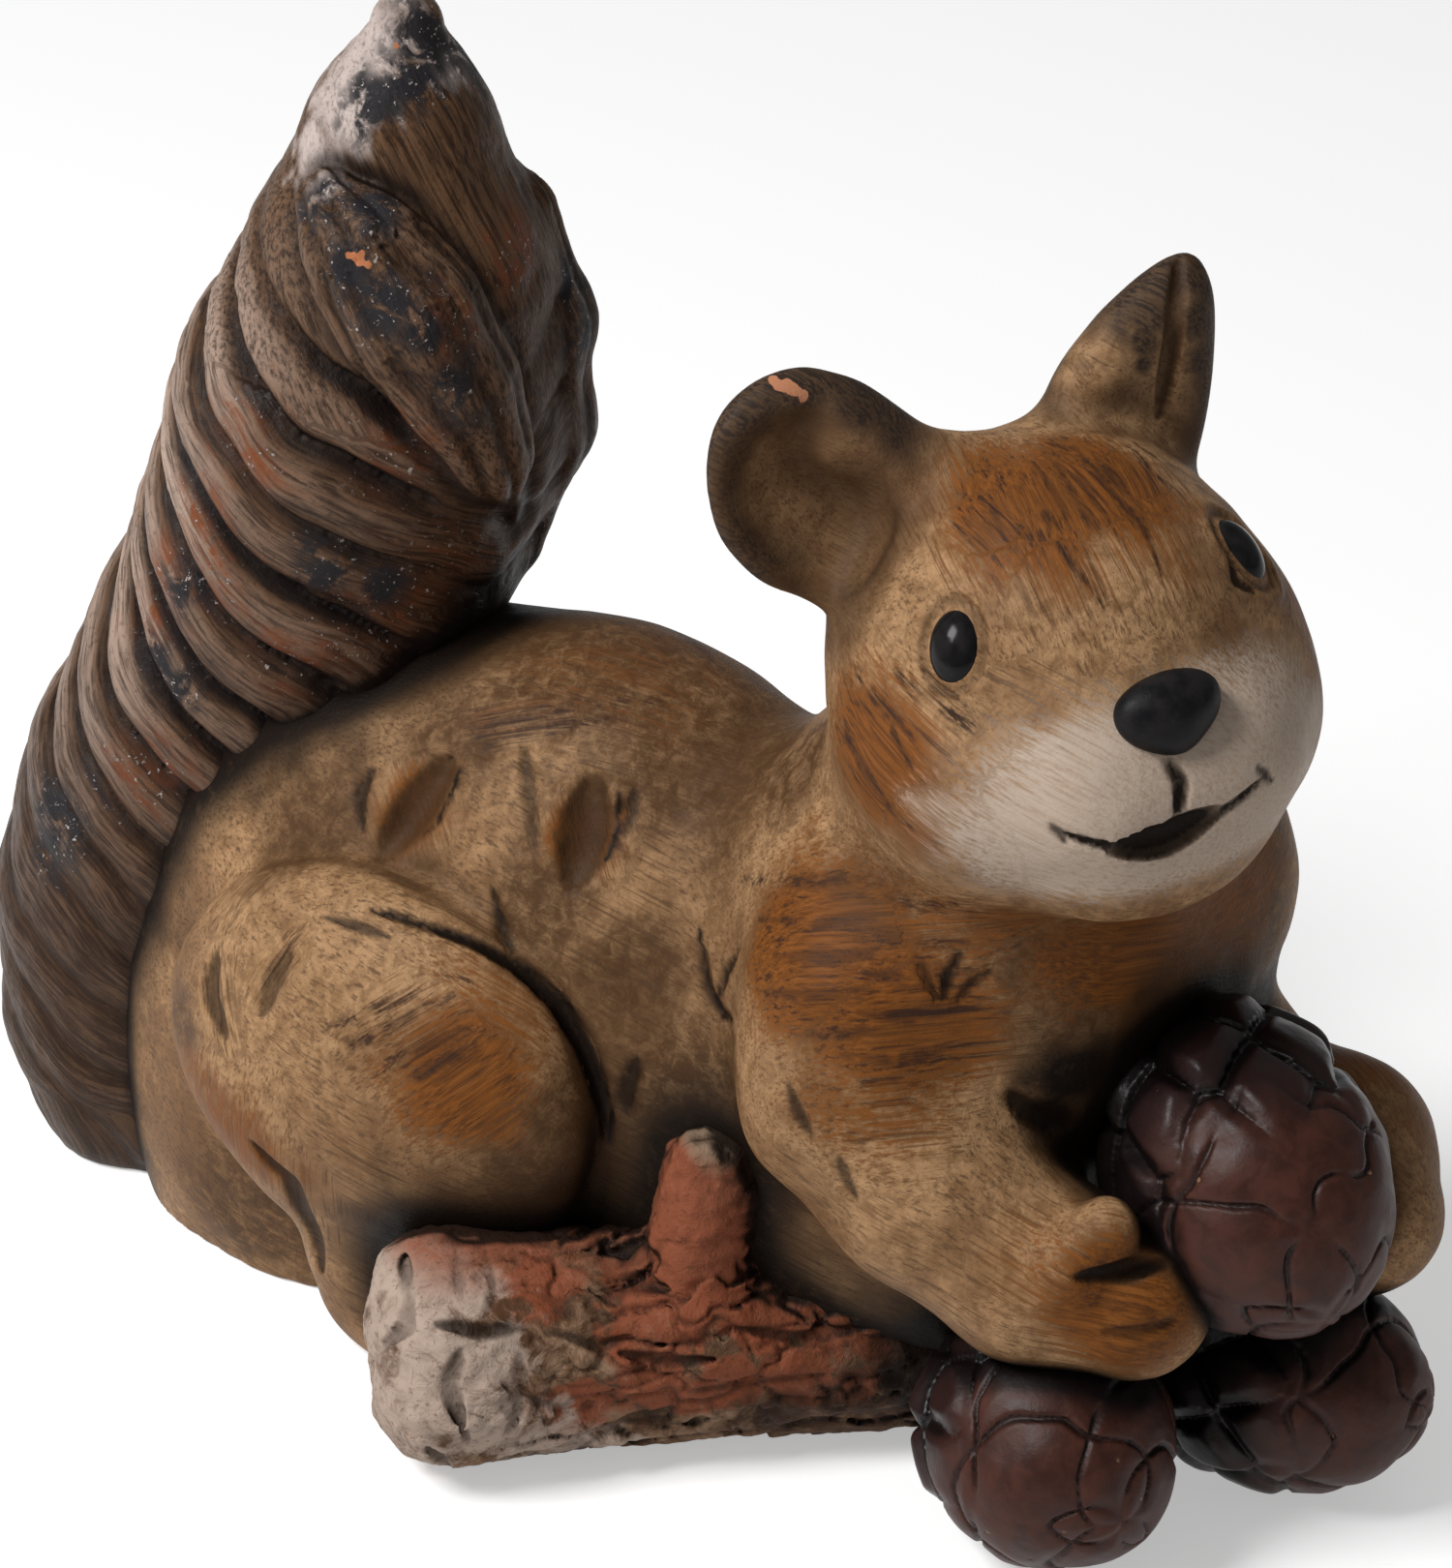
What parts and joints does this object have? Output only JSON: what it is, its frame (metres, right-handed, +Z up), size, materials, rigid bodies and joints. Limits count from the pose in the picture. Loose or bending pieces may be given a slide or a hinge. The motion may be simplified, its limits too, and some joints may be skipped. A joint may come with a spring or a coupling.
{
  "type": "squirrel figurine",
  "caption": "Painted terracotta squirrel lying by a log, head turned, holding a pine cone, with a tall grooved tail standing behind it.",
  "frame": {"origin": "on the ground in the flat resting face of the body, on its middle line", "axes": "+X the way the body faces, +Y to the squirrel's left, +Z up"},
  "size_m": [0.2252, 0.114, 0.178],
  "materials": {
    "fur_clay": "matt brushed paint in tan, ochre and off-white",
    "tail_clay": "matt brushed paint with dark wash in the grooves",
    "bark_clay": "matt bark paint, pale at the cut end",
    "cone_glaze": "satin maroon-brown glaze",
    "black_glaze": "gloss black"
  },
  "bodies": {
    "root": {"body_shell": "fur_clay", "head_shell": "fur_clay", "ear_right": "fur_clay", "ear_left": "fur_clay", "eye_right": "black_glaze", "eye_left": "black_glaze", "nose_button": "black_glaze", "thigh_right": "fur_clay", "thigh_left": "fur_clay", "hind_foot_right": "fur_clay", "hind_foot_left": "fur_clay", "foreleg_right": "fur_clay", "foreleg_left": "fur_clay", "tail_stem": "tail_clay", "tail_tip_lock": "tail_clay", "tail_near_lock": "tail_clay", "tail_far_lock": "tail_clay", "log": "bark_clay", "branch_stub": "bark_clay", "cone_held": "cone_glaze", "cone_front": "cone_glaze", "cone_side": "cone_glaze"}
  },
  "joints": []
}
